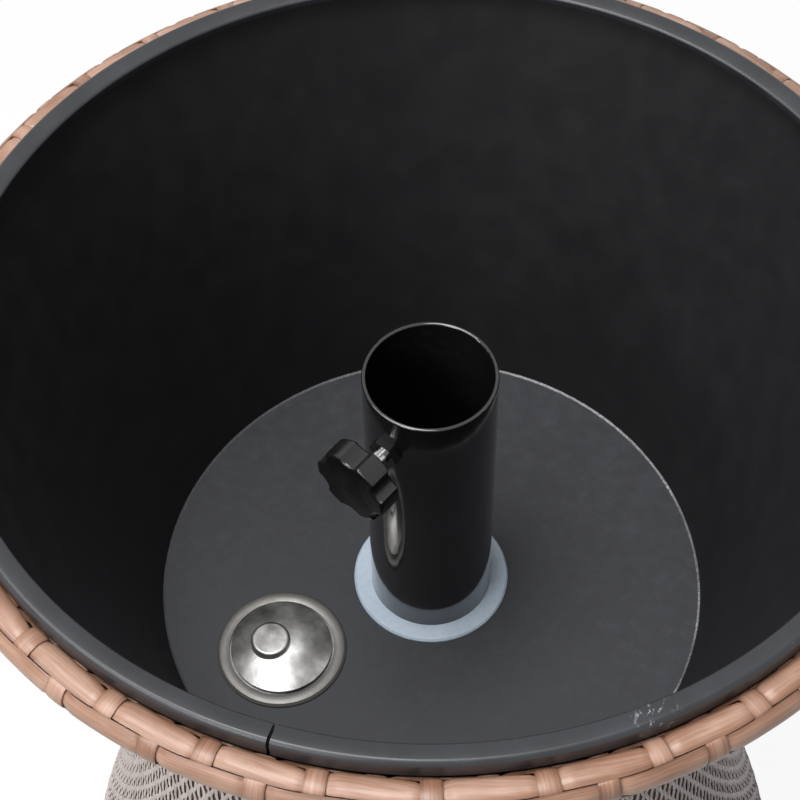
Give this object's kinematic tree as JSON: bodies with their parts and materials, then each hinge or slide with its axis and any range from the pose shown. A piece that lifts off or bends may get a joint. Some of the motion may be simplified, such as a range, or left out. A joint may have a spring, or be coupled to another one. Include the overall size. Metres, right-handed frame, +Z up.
{
  "type": "cooler table",
  "caption": "Round hourglass wicker cooler table: open tapered bucket with drain and clamped umbrella sleeve, and its lift-off lid leaning behind",
  "frame": {"origin": "on the ground at the centre of the table, under the umbrella sleeve", "axes": "+Z up along the sleeve, -Y towards the front that the picture shows, +X to its right"},
  "size_m": [0.4407, 0.5766, 0.55],
  "materials": {
    "liner_coat": "smooth satin dark grey coat",
    "floor_coat": "fine-grained dark grey coat",
    "sealant": "matt grey sealant",
    "trim_plastic": "satin grey moulded edge strip",
    "frame_steel": "matt brown powder coat",
    "foot_rubber": "matt black rubber",
    "sleeve_coat": "gloss black coat",
    "gasket_white": "matt white",
    "zinc": "bright zinc plating",
    "knob_plastic": "fine matt black",
    "seal_rubber": "matt black rubber",
    "drain_steel": "mirror-polished steel",
    "wicker": "tan brown woven flat strip with faint streaks",
    "binding_cord": "light grey cord"
  },
  "bodies": {
    "table": {"liner_wall": "liner_coat", "liner_floor": "floor_coat", "floor_seam": "sealant", "rim_trim": "trim_plastic", "frame_top_ring": "frame_steel", "frame_waist_ring": "frame_steel", "frame_base_ring": "frame_steel", "bowl_rib_1": "frame_steel", "bowl_rib_2": "frame_steel", "bowl_rib_3": "frame_steel", "bowl_rib_4": "frame_steel", "bowl_rib_5": "frame_steel", "bowl_rib_6": "frame_steel", "base_rib_1": "frame_steel", "base_rib_2": "frame_steel", "base_rib_3": "frame_steel", "base_rib_4": "frame_steel", "base_rib_5": "frame_steel", "base_rib_6": "frame_steel", "foot_glide_1": "foot_rubber", "foot_glide_2": "foot_rubber", "foot_glide_3": "foot_rubber", "foot_glide_4": "foot_rubber", "foot_glide_5": "foot_rubber", "foot_glide_6": "foot_rubber", "sleeve_hub": "frame_steel", "bucket_spokes": "frame_steel", "base_spider": "frame_steel", "centre_foot": "foot_rubber", "umbrella_sleeve": "sleeve_coat", "pole_stop": "frame_steel", "sleeve_gasket": "gasket_white", "clamp_nut": "sleeve_coat", "drain_flange": "drain_steel", "drain_washer": "seal_rubber", "drain_locknut": "knob_plastic", "rim_weaver_inner": "wicker", "rim_weaver_top": "wicker", "rim_weaver_outer": "wicker", "rim_weaver_under": "wicker", "rim_stakes": "wicker", "rim_binding": "binding_cord", "bowl_weave": "wicker", "base_weave": "wicker", "base_hem": "wicker"},
    "lid": {"lid_ring": "frame_steel", "lid_hub": "frame_steel", "lid_spokes": "frame_steel", "lid_seal": "seal_rubber", "lid_panel": "knob_plastic", "lid_weave": "wicker", "lid_edge_weave": "wicker", "lid_grommet": "knob_plastic"},
    "stopper": {"drain_stopper": "drain_steel", "stopper_knob": "drain_steel", "stopper_seal": "seal_rubber"},
    "clamp_carrier": {"clamp_pad": "seal_rubber"},
    "clamp_screw": {"clamp_bolt": "zinc", "clamp_knob": "knob_plastic"}
  },
  "joints": [
    {"name": "lid_swing", "type": "hinge", "parent": "table", "child": "lid", "pos_m": [0, 0.2472, 0.46531], "axis": [1, 0, 0], "range_deg": [0, 246]},
    {"name": "stopper_lift", "type": "slide", "parent": "table", "child": "stopper", "axis": [0, 0, 1], "range_m": [0, 0.04]},
    {"name": "clamp_advance", "type": "slide", "parent": "table", "child": "clamp_carrier", "axis": [0.6293, 0.7771, 0], "range_m": [0, 0.009]},
    {"name": "clamp_turn", "type": "hinge", "parent": "clamp_carrier", "child": "clamp_screw", "pos_m": [-0.02738, -0.03381, 0.476], "axis": [0.6293, 0.7771, 0], "range_deg": [0, 2592]}
  ],
  "couplings": [
    {"joint": "clamp_advance", "follows": "clamp_turn", "m_per_rad": 0.00019894}
  ]
}
